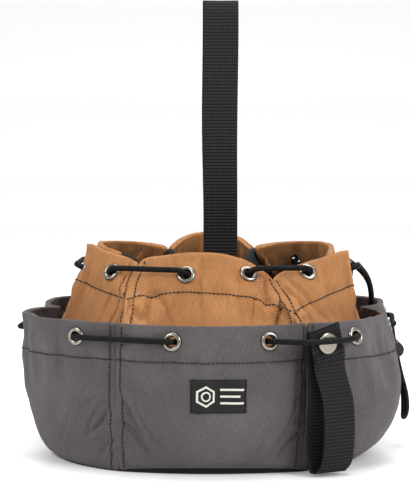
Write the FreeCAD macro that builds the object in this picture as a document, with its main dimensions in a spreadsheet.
"""Tool bucket organizer: two rings of six cloth pockets on a stiff base, with a webbing handle,
two draw cords with sliding locks, and a snap strap. Millimetres, +Z up, -Y is the front."""
import math
import os

import FreeCAD
import Part

Vector = FreeCAD.Vector
doc = FreeCAD.newDocument("organizer")
sheet = doc.addObject("Spreadsheet::Sheet", "dims")

DIMENSIONS = [
    ("base_thick", 4.0),
    ("cloth_thick", 2.0),
    ("divider_thick", 1.6),
    ("outer_height", 105.0),
    ("inner_height", 150.0),
    ("seam_gap", 0.2),
    ("web_width", 25.4),
    ("web_thick", 1.5),
    ("cord_diameter", 4.0),
    ("eyelet_hole", 7.0),
    ("eyelet_barrel", 8.2),
    ("eyelet_flange", 13.6),
    ("flange_thick", 1.0),
    ("outer_flange_gap", 0.6),
    ("inner_flange_gap", 1.2),
    ("outer_eyelet_height", 94.0),
    ("inner_eyelet_height", 136.0),
    ("handle_offset", 7.5),
    ("handle_hinge", 162.0),
    ("handle_top", 332.0),
    ("snap_height", 92.0),
    ("cap_diameter", 15.0),
    ("cap_thick", 2.2),
    ("socket_diameter", 11.0),
    ("socket_thick", 2.4),
    ("stud_diameter", 11.0),
    ("stud_thick", 0.8),
    ("post_diameter", 4.0),
    ("post_height", 1.7),
    ("label_width", 38.0),
    ("label_height", 22.5),
    ("lock_radius", 5.6),
    ("lock_bore", 4.4),
    ("button_radius", 4.1),
    ("spring_radius", 3.2),
    ("spring_wire", 0.6),
]
for row, (name, value) in enumerate(DIMENSIONS, 1):
    sheet.set(f"A{row}", name)
    sheet.set(f"B{row}", str(value))
    sheet.setAlias(f"B{row}", name)
doc.recompute()


def dim(name):
    return float(sheet.get(name))


CLOTH = dim("cloth_thick")
WEB = dim("web_thick")
CORD = dim("cord_diameter")
RIM = dim("outer_height")
NODES = {}


def keep(name, obj):
    NODES[name] = obj
    return obj


def solid_node(name, shape):
    """A soft or curved piece that no primitive describes."""
    obj = doc.addObject("Part::Feature", name)
    obj.Shape = shape
    return keep(name, obj)


# The seams between pockets stand at every 60 degrees. Each row is the seam's angle, the radius of the
# outer ring there at the rim and at the base, and the radius and height of the inner ring's seam top.
SEAMS = {
    0: (115.0, 113.0, 84.0, 143.0),
    60: (125.0, 118.0, 62.0, 145.0),
    120: (125.0, 118.0, 58.0, 145.0),
    180: (115.0, 113.0, 62.0, 145.0),
    240: (132.0, 127.0, 79.0, 143.0),
    300: (132.0, 127.0, 69.0, 132.0),
}
# Each pocket, by the angle of its first seam: its name, the outer ring's bulge at the rim and the
# extra bulge at mid height, the skew and roundness of that bulge, the bulge of the base edge,
# then the inner ring's bulge above the outer rim, its skew, and its radius over the seams lower down.
POCKETS = {
    0: ("rear_right", 24.0, 6.0, 0.85, 1.0, 2.0, 20.0, 0.85, -6.0),
    60: ("rear", 12.0, 8.0, 1.0, 0.8, 0.0, 22.0, 1.0, -9.0),
    120: ("rear_left", 17.0, 4.0, 1.1, 0.8, 2.0, 34.0, 1.0, -6.0),
    180: ("front_left", 22.0, -3.0, 0.62, 0.9, 3.0, 25.0, 0.62, -5.0),
    240: ("front", 6.0, 4.0, 1.0, 0.7, -7.0, 8.0, 1.0, -17.0),
    300: ("front_right", 15.0, 12.0, 1.0, 0.6, 0.0, 26.0, 1.5, -4.0),
}


def bump(share, skew, power):
    return max(0.0, math.sin(math.pi * share**skew)) ** power


def smooth(x):
    x = min(1.0, max(0.0, x))
    return x * x * (3 - 2 * x)


def outer_radius(angle, z):
    """The outer face of the outer ring of pockets."""
    first = int(angle // 60) * 60 % 360
    share = (angle % 360 - first) / 60
    name, rim, belly, skew, power, foot, top, lean, low = POCKETS[first]
    a = SEAMS[first]
    b = SEAMS[(first + 60) % 360]
    at_rim = a[0] + (b[0] - a[0]) * share + rim * bump(share, skew, power)
    at_base = a[1] + (b[1] - a[1]) * share + foot * bump(share, 1.0, 1.0)
    up = 1 - (1 - min(1.0, z / 60)) ** 2
    swell = belly * math.sin(math.pi * min(1.0, z / RIM)) * bump(share, skew, power)
    return at_base + (at_rim - at_base) * up + swell


def inner_radius(angle, z):
    """The outer face of the inner ring of pockets, sewn to the outer ring at the seams."""
    first = int(angle // 60) * 60 % 360
    share = (angle % 360 - first) / 60
    name, rim, belly, skew, power, foot, top, lean, low = POCKETS[first]
    inside = CLOTH + 0.4
    a = outer_radius(first, min(z, RIM)) - inside
    b = outer_radius((first + 60) % 360, min(z, RIM)) - inside
    under = a + (b - a) * share + low * bump(share, 1.0, 1.0)
    p = SEAMS[first]
    q = SEAMS[(first + 60) % 360]
    over = p[2] + (q[2] - p[2]) * share + top * bump(share, lean, 0.8)
    lift = smooth((z - 88) / 70)
    return under + (over - under) * lift


def rim_height(angle):
    """The inner ring's top edge dips at each seam."""
    first = int(angle // 60) * 60 % 360
    share = (angle % 360 - first) / 60
    a = SEAMS[first][3]
    b = SEAMS[(first + 60) % 360][3]
    seam = a + (b - a) * share
    return seam + (dim("inner_height") - seam) * bump(share, 1.0, 0.6)


def wall_point(radius, angle, z, push=0.0):
    turn = math.radians(angle)
    r = radius(angle, z) + push
    return Vector(r * math.cos(turn), r * math.sin(turn), z)


def wall_normal(radius, angle, z):
    along = wall_point(radius, angle + 0.5, z) - wall_point(radius, angle - 0.5, z)
    up = wall_point(radius, angle, z + 1) - wall_point(radius, angle, z - 1)
    return along.cross(up).normalize()


def closed_band(outer, inner):
    """A closed wire: a curve through the outer points and back through the inner ones."""
    front = Part.BSplineCurve()
    front.interpolate(outer)
    back = Part.BSplineCurve()
    back.interpolate(inner[::-1])
    return Part.Wire(
        [
            front.toShape(),
            Part.makeLine(outer[-1], inner[-1]),
            back.toShape(),
            Part.makeLine(inner[0], outer[0]),
        ]
    )


def panel(radius, start, stop, heights, gap, thick, push=0.0, top=None):
    """A curved sheet between two angles, through closed bands at several heights."""
    bands = []
    for level, z in enumerate(heights):
        outer = []
        inner = []
        for step in range(11):
            share = step / 10
            middle = math.radians(start + (stop - start) * share)
            rough = radius(math.degrees(middle), z)
            for points, more in ((outer, push), (inner, push - thick)):
                edge = math.degrees(gap / (rough + more))
                angle = start + edge + (stop - start - 2 * edge) * share
                angle = min(stop - 1e-6, max(start + 1e-6, angle))
                height = z
                if top and level:
                    height = heights[0] + (z - heights[0]) * top(angle) / heights[-1]
                turn = math.radians(angle)
                r = radius(angle, height) + more
                points.append(Vector(r * math.cos(turn), r * math.sin(turn), height))
        bands.append(closed_band(outer, inner))
    return bands


def cloth_solid(bands):
    """A solid between bands whose ends need not be flat."""
    faces = []
    for low, high in zip(bands, bands[1:]):
        for a, b in zip(low.Edges, high.Edges):
            faces.append(Part.makeRuledSurface(a, b))
    for cap in (bands[0], bands[-1]):
        faces.append(Part.makeRuledSurface(cap.Edges[0], reversed_edge(cap.Edges[2])))
    shell = Part.Shell(Part.makeCompound(faces).Faces)
    shell.sewShape()
    solid = Part.Solid(Part.Shell(shell.Faces))
    if solid.Volume < 0:
        solid.reverse()
    return solid


def reversed_edge(edge):
    curve = edge.Curve.copy()
    curve.reverse()
    return curve.toShape()


def eyelet_axis(radius, angle, z):
    at = wall_point(radius, angle, z)
    return at, wall_normal(radius, angle, z)


def drilled(shape, radius, angles, z):
    for angle in angles:
        at, out = eyelet_axis(radius, angle, z)
        shape = shape.cut(Part.makeCylinder(dim("eyelet_barrel") / 2 + 0.2, 14, at - out * 7, out))
    return shape


OUTER_TURN = {0: (16, 16), 60: (16, 16), 120: (16, 16), 180: (16, 16), 240: (13, 19), 300: (13, 15)}
INNER_TURN = {0: (18, 18), 60: (18, 18), 120: (18, 18), 180: (18, 18), 240: (17, 19), 300: (12, 17)}
OUTER_LEVELS = [dim("base_thick") + 0.2, 12, 24, 40, 60, 80, RIM]
INNER_LEVELS = [dim("base_thick") + 0.2, 30, 60, 88, 100, 112, 124, 136, dim("inner_height")]


def pocket_holes(turns, first):
    return [first + turns[first][1], first + 60 - turns[(first + 60) % 360][0]]


for first, row in POCKETS.items():
    outer = cloth_solid(
        panel(outer_radius, first, first + 60, OUTER_LEVELS, dim("seam_gap"), CLOTH)
    )
    holes = pocket_holes(OUTER_TURN, first)
    outer = drilled(outer, outer_radius, holes, dim("outer_eyelet_height"))
    solid_node("outer_pocket_" + row[0], outer)
    reach = dim("divider_thick") / 2 + dim("seam_gap")
    inner = cloth_solid(
        panel(inner_radius, first, first + 60, INNER_LEVELS, reach, CLOTH, top=rim_height)
    )
    holes = pocket_holes(INNER_TURN, first)
    inner = drilled(inner, inner_radius, holes, dim("inner_eyelet_height"))
    solid_node("inner_pocket_" + row[0], inner)

# The base: six edges between the seam corners, a little bowed, with rounded corners.
edges = []
for first in POCKETS:
    ends = [wall_point(outer_radius, a, 0, -0.4) for a in (first, first + 30, first + 60)]
    edges.append(Part.Arc(*ends).toShape())
outline = doc.addObject("Part::Feature", "base_outline")
outline.Shape = Part.Face(Part.Wire(edges))
base = doc.addObject("Part::Extrusion", "base_panel")
base.Base = outline
base.Dir = Vector(0, 0, 1)
base.setExpression("LengthFwd", "dims.base_thick")
keep("base_panel", base)

# Six dividers run from the handle's webbing out to the seams.
INNER_END = {0: 21.0, 60: 4.5, 120: 4.5, 180: 6.0, 240: 4.5, 300: 4.5}
for angle, start in INNER_END.items():
    low = dim("base_thick") + 0.2
    profile = [Vector(start, 0, low)]
    if start < 5:
        profile = [Vector(start, 0, low + 2), Vector(10, 0, low + 2), Vector(10, 0, low)]
    for z in (dim("base_thick") + 0.2, 12, 24, 40, 60, 88):
        profile.append(Vector(outer_radius(angle, z) - CLOTH - 0.4, 0, z))
    top = SEAMS[angle][3] - 1
    for z in (100, 112, 124, top):
        profile.append(Vector(inner_radius(angle, z) - 0.2, 0, z))
    profile.append(Vector(30, 0, 118))
    profile.append(Vector(start, 0, 112))
    outline = doc.addObject("Part::Feature", f"divider_outline_{angle}")
    outline.Shape = Part.Face(Part.makePolygon(profile + profile[:1]))
    divider = doc.addObject("Part::Extrusion", f"divider_{angle}")
    divider.Base = outline
    divider.Dir = Vector(0, 1, 0)
    divider.Symmetric = True
    divider.setExpression("LengthFwd", "dims.divider_thick")
    divider.Placement.Rotation = FreeCAD.Rotation(Vector(0, 0, 1), angle)
    keep(f"divider_{angle}", divider)


def ring(name, outer, inner, height, at, out):
    """A flat ring or tube along an axis, with its sizes in the sheet."""
    body = doc.addObject("Part::Cylinder", name + "_body")
    body.setExpression("Radius", outer)
    body.setExpression("Height", height)
    hole = doc.addObject("Part::Cylinder", name + "_hole")
    hole.setExpression("Radius", inner)
    hole.setExpression("Height", height)
    cut = doc.addObject("Part::Cut", name)
    cut.Base = body
    cut.Tool = hole
    cut.Placement = FreeCAD.Placement(at, FreeCAD.Rotation(Vector(0, 0, 1), out))
    return cut


def eyelets(label, radius, turns, z, gap):
    flanges = []
    washers = []
    for seam, (before, after) in turns.items():
        for side, angle in (("a", (seam - before) % 360), ("b", seam + after)):
            at, out = eyelet_axis(radius, angle, z)
            name = f"{label}_{seam}_{side}"
            flanges.append(
                ring(
                    name + "_flange",
                    "dims.eyelet_flange / 2",
                    "dims.eyelet_hole / 2",
                    "dims.flange_thick",
                    at + out * dim(gap),
                    out,
                )
            )
            flanges.append(
                ring(
                    name + "_barrel",
                    "dims.eyelet_barrel / 2",
                    "dims.eyelet_hole / 2",
                    f"dims.cloth_thick + 2 * dims.{gap} + dims.flange_thick",
                    at - out * (CLOTH + dim(gap) + dim("flange_thick")),
                    out,
                )
            )
            washers.append(
                ring(
                    name + "_washer",
                    "dims.eyelet_flange / 2",
                    "dims.eyelet_barrel / 2",
                    "dims.flange_thick",
                    at - out * (CLOTH + dim(gap) + dim("flange_thick")),
                    out,
                )
            )
    for name, rings in ((label + "_grommets", flanges), (label + "_washers", washers)):
        group = doc.addObject("Part::MultiFuse", name)
        group.Shapes = rings
        keep(name, group)


eyelets("outer", outer_radius, OUTER_TURN, dim("outer_eyelet_height"), "outer_flange_gap")
eyelets("inner", inner_radius, INNER_TURN, dim("inner_eyelet_height"), "inner_flange_gap")


def cord(name, points, diameter):
    """A round cord along straight runs joined by tangent arcs."""
    edges = []
    at = points[0]
    radii = []
    for before, corner, after in zip(points, points[1:], points[2:]):
        a = before - corner
        b = after - corner
        turn = math.pi - a.getAngle(b)
        reach = 0.45 * min(a.Length, b.Length)
        radius = reach / math.tan(turn / 2)
        radii.append(round(radius, 1))
        a.normalize()
        b.normalize()
        start = corner + a * reach
        end = corner + b * reach
        bisector = (a + b).normalize()
        middle = corner + bisector * (radius / math.cos(turn / 2) - radius)
        edges.append(Part.LineSegment(at, start).toShape())
        edges.append(Part.Arc(start, middle, end).toShape())
        at = end
    edges.append(Part.LineSegment(at, points[-1]).toShape())
    path = Part.Wire(edges)
    heading = (points[1] - points[0]).normalize()
    circle = Part.Wire(Part.makeCircle(diameter / 2, points[0], heading))
    tube = path.makePipeShell([circle], True, True)
    expected = math.pi * diameter**2 / 4 * path.Length
    print(name, "radii", radii, "volume share", round(tube.Volume / expected, 4))
    return solid_node(name, tube)


def crossing(radius, angle, z, outward):
    """The two corners of a cord going through an eyelet."""
    at, out = eyelet_axis(radius, angle, z)
    clear = 5.2 if radius is outer_radius else 6.9
    corners = [at - out * (CLOTH + clear - 0.2), at + out * clear]
    return corners if outward else corners[::-1]


def inside_middle(radius, turns, first, z):
    """Halfway along the cord's run inside a pocket."""
    a, b = pocket_holes(turns, first)
    first_end = crossing(radius, a, z, False)[-1]
    second_end = crossing(radius, b, z, True)[0]
    return (first_end + second_end) / 2


def over_seam(radius, turns, seam, z):
    """The corners of the cord from inside one pocket, over a seam, to inside the next."""
    before, after = turns[seam]
    first = crossing(radius, (seam - before) % 360, z, True)
    second = crossing(radius, seam + after, z, False)
    middle = (first[-1] + second[0]) / 2
    flat = math.hypot(middle.x, middle.y)
    need = radius(seam, z) + CORD / 2 + 2.4
    if need > flat + 0.6:
        turn = math.radians(seam)
        return first + [Vector(need * math.cos(turn), need * math.sin(turn), z)] + second
    return first + second


def around(radius, turns, seams, z):
    points = []
    for seam in seams:
        points += over_seam(radius, turns, seam, z)
    return points


oz = dim("outer_eyelet_height")
iz = dim("inner_eyelet_height")
cord(
    "outer_draw_cord",
    [inside_middle(outer_radius, OUTER_TURN, 0, oz)]
    + around(outer_radius, OUTER_TURN, (60, 120, 180, 240), oz)
    + [inside_middle(outer_radius, OUTER_TURN, 240, oz)],
    CORD,
)
cord(
    "inner_draw_cord",
    [inside_middle(inner_radius, INNER_TURN, 0, iz)]
    + around(inner_radius, INNER_TURN, (60, 120, 180, 240, 300), iz)
    + [inside_middle(inner_radius, INNER_TURN, 300, iz)],
    CORD,
)

# The snap strap hangs beside the front right seam. Its profile is drawn as distance out and height.
STRAP = 302.2
turn = math.radians(STRAP)
strap_out = Vector(math.cos(turn), math.sin(turn), 0)
strap_side = Vector(-math.sin(turn), math.cos(turn), 0)


def wall_out(z):
    """How far the pockets' wall stands out behind the strap's width, along the strap's direction."""
    spread = (-6.0, -4.5, -3.0, -1.5, 0.0, 1.5, 3.0, 4.5, 6.0)
    return max(outer_radius(STRAP + d, z) * math.cos(math.radians(d)) for d in spread)


def strip(name, profile, shift, across, out):
    """Webbing: a band through the profile's points, drawn out to its width."""
    outer = []
    inner = []
    for i, (u, z) in enumerate(profile):
        before = profile[max(0, i - 1)]
        after = profile[min(len(profile) - 1, i + 1)]
        du = after[0] - before[0]
        dz = after[1] - before[1]
        size = math.hypot(du, dz)
        normal = (dz / size, -du / size)
        for points, side in ((outer, WEB / 2), (inner, -WEB / 2)):
            place = out * (u + normal[0] * side)
            points.append(place + Vector(0, 0, z + normal[1] * side) + shift)
    face = Part.Face(closed_band(outer, inner))
    face.translate(across * (-dim("web_width") / 2))
    profile_obj = doc.addObject("Part::Feature", name + "_profile")
    profile_obj.Shape = face
    band = doc.addObject("Part::Extrusion", name)
    band.Base = profile_obj
    band.Dir = across
    band.setExpression("LengthFwd", "dims.web_width")
    return keep(name, band)


SPARE = 0.15
back_face = max(wall_out(z) for z in (84, 90, 96, RIM)) + 0.7
stud_face = back_face + WEB + SPARE
socket_face = stud_face + dim("stud_thick") + 0.3
front_face = socket_face + dim("socket_thick") + SPARE
cap_face = front_face + WEB + SPARE
hinge_r = socket_face + 4.0
back_mid = back_face + WEB / 2
front_mid = front_face + WEB / 2
back_profile = [(back_mid, z) for z in (104, 99, 94, 89, 84)]
for z in (74, 64, 54, 44, 34, 24, 16):
    back_profile.append((max(back_mid, wall_out(z) + 0.7 + WEB / 2), z))
back_profile += [(hinge_r - 3.6, 8.0), (hinge_r - 2.6, 4.6)]
strip("snap_strap_back", back_profile, Vector(0, 0, 0), strap_side, strap_out)
front_profile = [(front_mid, z) for z in (107, 102, 97, 92, 87, 82)]
front_profile += [
    (front_mid + 3.6, 66),
    (front_mid + 8.6, 44),
    (front_mid + 8.6, 22),
    (hinge_r + 5.0, 8.5),
    (hinge_r + 2.6, 4.4),
]
strip("snap_strap_front", front_profile, Vector(0, 0, 0), strap_side, strap_out)
snap_up = Vector(0, 0, dim("snap_height"))


def disc(name, diameter, height, at):
    """A round metal part of the snap, facing out of the strap."""
    obj = doc.addObject("Part::Cylinder", name)
    obj.setExpression("Radius", diameter + " / 2")
    obj.setExpression("Height", height)
    obj.Placement = FreeCAD.Placement(at, FreeCAD.Rotation(Vector(0, 0, 1), strap_out))
    return obj


cap = disc("cap_blank", "dims.cap_diameter", "dims.cap_thick", strap_out * cap_face + snap_up)
doc.recompute()
rounded = doc.addObject("Part::Fillet", "snap_cap")
rounded.Base = cap
rounded.Edges = [
    (i, 1.2, 1.2)
    for i, e in enumerate(cap.Shape.Edges, 1)
    if e.Closed and e.CenterOfMass.dot(strap_out) > cap_face + 1
]
keep("snap_cap", rounded)
blank = disc(
    "socket_blank", "dims.socket_diameter", "dims.socket_thick", strap_out * socket_face + snap_up
)
recess = disc(
    "socket_recess", "dims.post_diameter + 0.8", "dims.post_height", strap_out * socket_face + snap_up
)
recess.setExpression("Radius", "dims.post_diameter / 2 + 0.4")
socket = doc.addObject("Part::Cut", "snap_socket")
socket.Base = blank
socket.Tool = recess
keep("snap_socket", socket)
flange = disc(
    "stud_flange", "dims.stud_diameter", "dims.stud_thick", strap_out * stud_face + snap_up
)
post = disc(
    "stud_post",
    "dims.post_diameter",
    "dims.post_height",
    strap_out * (stud_face + dim("stud_thick")) + snap_up,
)
stud = doc.addObject("Part::Fuse", "snap_stud")
stud.Base = flange
stud.Tool = post
keep("snap_stud", stud)

# The outer cord's length over the front right seam, which passes in front of the snap cap.
over_cap = cap_face + dim("cap_thick") + CORD / 2 + 1.4
beside_cap = [strap_out * over_cap + strap_side * along + Vector(0, 0, oz) for along in (-17, 17)]
cord(
    "outer_cord_bridge",
    [inside_middle(outer_radius, OUTER_TURN, 240, oz)]
    + crossing(outer_radius, 300 - OUTER_TURN[300][0], oz, True)
    + beside_cap
    + crossing(outer_radius, 300 + OUTER_TURN[300][1], oz, False)
    + [inside_middle(outer_radius, OUTER_TURN, 300, oz)],
    CORD,
)

# The handle: a lower strap sewn between the dividers, and a loop above it.
lower = doc.addObject("Part::Box", "handle_lower_strap")
lower.setExpression("Length", "dims.web_width")
lower.setExpression("Width", "dims.web_thick * 2 + 0.2")
lower.setExpression("Height", "dims.handle_hinge - 2 - dims.base_thick - 1.8")
lower.setExpression("Placement.Base.x", "dims.handle_offset - dims.web_width / 2")
lower.setExpression("Placement.Base.y", "-dims.web_thick - 0.1")
lower.setExpression("Placement.Base.z", "dims.base_thick + 1.8")
keep("handle_lower_strap", lower)
patch = doc.addObject("Part::Box", "handle_anchor")
patch.setExpression("Length", "dims.web_width")
patch.Width = 14
patch.setExpression("Height", "dims.web_thick")
patch.setExpression("Placement.Base.x", "dims.handle_offset - dims.web_width / 2")
patch.Placement.Base.y = -7
patch.setExpression("Placement.Base.z", "dims.base_thick + 0.15")
keep("handle_anchor", patch)
hinge = dim("handle_hinge")
top = dim("handle_top")
half = [(1.9, hinge + 3.2), (3.4, hinge + 14), (7.5, 205), (11.0, 250), (11.5, 290), (9.0, 318)]
over = half + [(5.2, top - 3.5), (0, top)]
loop_profile = [(-u, z) for u, z in over] + over[-2::-1]
strip(
    "handle_loop", loop_profile, Vector(dim("handle_offset"), 0, 0), Vector(1, 0, 0), Vector(0, 1, 0)
)

# The woven label, sewn to the front pocket.
around_label = math.degrees(dim("label_width") / 2 / outer_radius(270, 58))
label_middle = 272.0
label_low = 58 - dim("label_height") / 2
levels = [label_low + dim("label_height") * i / 3 for i in range(4)]
solid_node(
    "woven_label",
    cloth_solid(
        panel(
            outer_radius,
            label_middle - around_label,
            label_middle + around_label,
            levels,
            0.0,
            0.8,
            push=1.1,
        )
    ),
)


def bight(name, radius, turns, z, left, right, loop):
    """A draw cord's two ends, out at the right seam, down as two legs and round a loop."""
    before, after = turns[0]
    points = [inside_middle(radius, turns, 300, z)]
    points += crossing(radius, 360 - before, z, True)
    points += [Vector(*p) for p in left]
    points += [Vector(*p) for p in loop]
    points += [Vector(*p) for p in right[::-1]]
    points += crossing(radius, after, z, False)
    points += [inside_middle(radius, turns, 0, z)]
    return cord(name, points, CORD)


LEG = 2.4
bight(
    "outer_cord_bight",
    outer_radius,
    OUTER_TURN,
    oz,
    [(135.0, -15.0, 95.0), (136.0, -LEG, 86.0), (142.5, -LEG, 55.0)],
    [(138.0, 15.0, 95.0), (136.0, LEG, 86.0), (142.5, LEG, 55.0)],
    [
        (146.0, -11.0, 42.0),
        (147.0, -13.0, 27.5),
        (145.0, 0.0, 19.0),
        (147.0, 13.0, 27.5),
        (146.0, 11.0, 42.0),
    ],
)
bight(
    "inner_cord_bight",
    inner_radius,
    INNER_TURN,
    iz,
    [
        (109.0, -9.0, 138.0),
        (119.0, 5.0 - LEG, 126.0),
        (123.0, 17.0 - LEG, 109.0),
        (121.0, 28.0 - LEG, 97.0),
        (119.5, 31.0 - LEG, 56.0),
    ],
    [
        (104.0, 19.0, 139.0),
        (119.0, 5.0 + LEG, 126.0),
        (123.0, 17.0 + LEG, 109.0),
        (121.0, 28.0 + LEG, 97.0),
        (119.5, 31.0 + LEG, 56.0),
    ],
    [
        (119.0, 20.0, 43.0),
        (118.5, 18.0, 28.5),
        (118.0, 31.0, 20.0),
        (118.5, 44.0, 28.5),
        (119.0, 42.0, 43.0),
    ],
)


def lock(label, top, bottom, along):
    """A cord lock on two parallel legs: barrel, forked button and spring, the button along +Y."""
    down = (bottom - top).normalize()
    centre = top + down * along
    turn = FreeCAD.Rotation(Vector(0, 1, 0), math.degrees(math.atan2(-down.x, -down.z)))
    place = FreeCAD.Placement(centre, turn)
    sideways = FreeCAD.Rotation(Vector(1, 0, 0), -90)

    def rod(name, radius, start, length):
        obj = doc.addObject("Part::Cylinder", f"{label}_{name}")
        obj.setExpression("Radius", radius)
        obj.Height = length
        obj.Placement = FreeCAD.Placement(Vector(0, start, 0), sideways)
        return obj

    def slot(name, x, start, stop):
        obj = doc.addObject("Part::Box", f"{label}_{name}")
        obj.Length = 2 * x
        obj.Width = stop - start
        obj.Height = 16
        obj.Placement.Base = Vector(-x, start, -8)
        return obj

    def less(name, base, tool):
        obj = doc.addObject("Part::Cut", f"{label}_{name}")
        obj.Base = base
        obj.Tool = tool
        return obj

    shell = less(
        "shell",
        rod("barrel_rod", "dims.lock_radius", -13, 21),
        rod("bore_rod", "dims.lock_bore", -11.8, 22),
    )
    barrel = less("lock_barrel", shell, slot("barrel_slot", 2.4, -4.9, 4.9))
    barrel.Placement = place
    keep(f"{label}_lock_barrel", barrel)
    stem = rod("button_rod", "dims.button_radius", -5.5, 18.5)
    button = less("lock_button", stem, slot("button_slot", 2.5, -6, 9.0))
    button.Placement = place
    keep(f"{label}_lock_button", button)
    coil = []
    for step in range(25):
        turned = math.radians(45 * step)
        r = dim("spring_radius")
        spot = Vector(r * math.cos(turned), -11.2 + 0.2 * step, r * math.sin(turned))
        coil.append(place.multVec(spot))
    cord(f"{label}_lock_spring", coil, dim("spring_wire"))
    print(label, "lock", [round(v, 2) for v in centre], "slide", [round(v, 4) for v in down])


lock("outer", Vector(136, 0, 86), Vector(142.5, 0, 55), 12.9)
lock("inner", Vector(121, 28, 97), Vector(119.5, 31, 56), 14.0)

doc.recompute()
os.makedirs("parts", exist_ok=True)
for obj in doc.Objects:
    if "Invalid" in obj.State or "Error" in obj.State:
        raise RuntimeError(f"{obj.Name} has state {obj.State}")
for name, obj in NODES.items():
    if obj.Shape.isNull() or not obj.Shape.isValid():
        raise RuntimeError(f"{name} has no valid shape")
for name, obj in NODES.items():
    obj.Shape.exportStep(f"parts/{name}.step")
print(len(NODES), "nodes", "hinge", round(hinge_r, 2), "cap", round(cap_face, 2))
